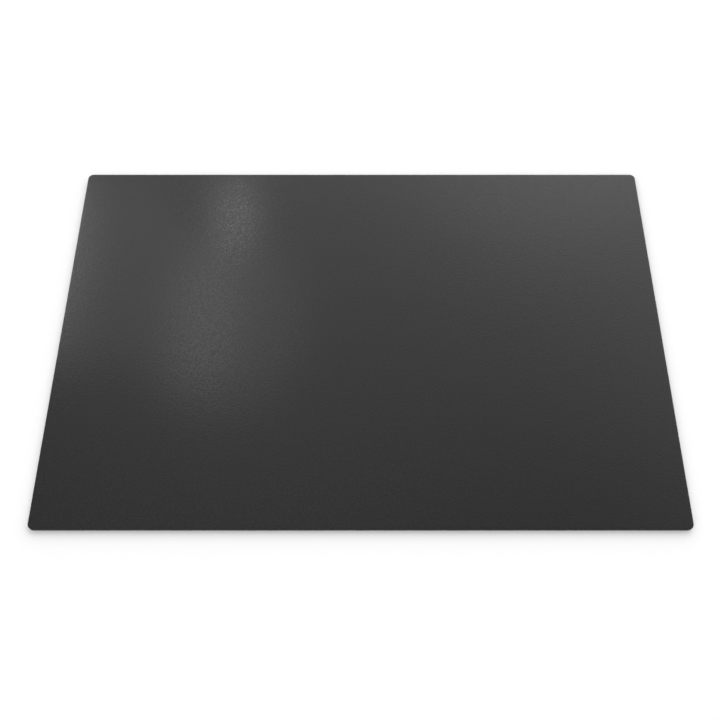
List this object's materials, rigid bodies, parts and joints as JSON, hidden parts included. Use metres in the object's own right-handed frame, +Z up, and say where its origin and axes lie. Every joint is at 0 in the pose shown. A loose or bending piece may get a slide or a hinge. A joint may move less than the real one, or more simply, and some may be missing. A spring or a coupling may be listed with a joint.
{
  "type": "self-healing cutting mat",
  "caption": "Plain rectangular self-healing cutting mat for leatherwork: thin laminated vinyl sheet with small rounded corners and a finely embossed satin face on each side.",
  "frame": {"origin": "middle of the underside, on the surface that the mat lies on", "axes": "+X along the long side, +Y along the short side towards the edge that is farther away in the picture, +Z up through the mat's thickness"},
  "size_m": [0.4572, 0.3048, 0.003],
  "materials": {
    "surface_film": "satin",
    "healing_vinyl": "matte",
    "core_vinyl": "matte"
  },
  "bodies": {
    "root": {"bottom_surface_film": "surface_film", "lower_healing_ply": "healing_vinyl", "stiff_core_ply": "core_vinyl", "upper_healing_ply": "healing_vinyl", "top_surface_film": "surface_film"}
  },
  "joints": []
}
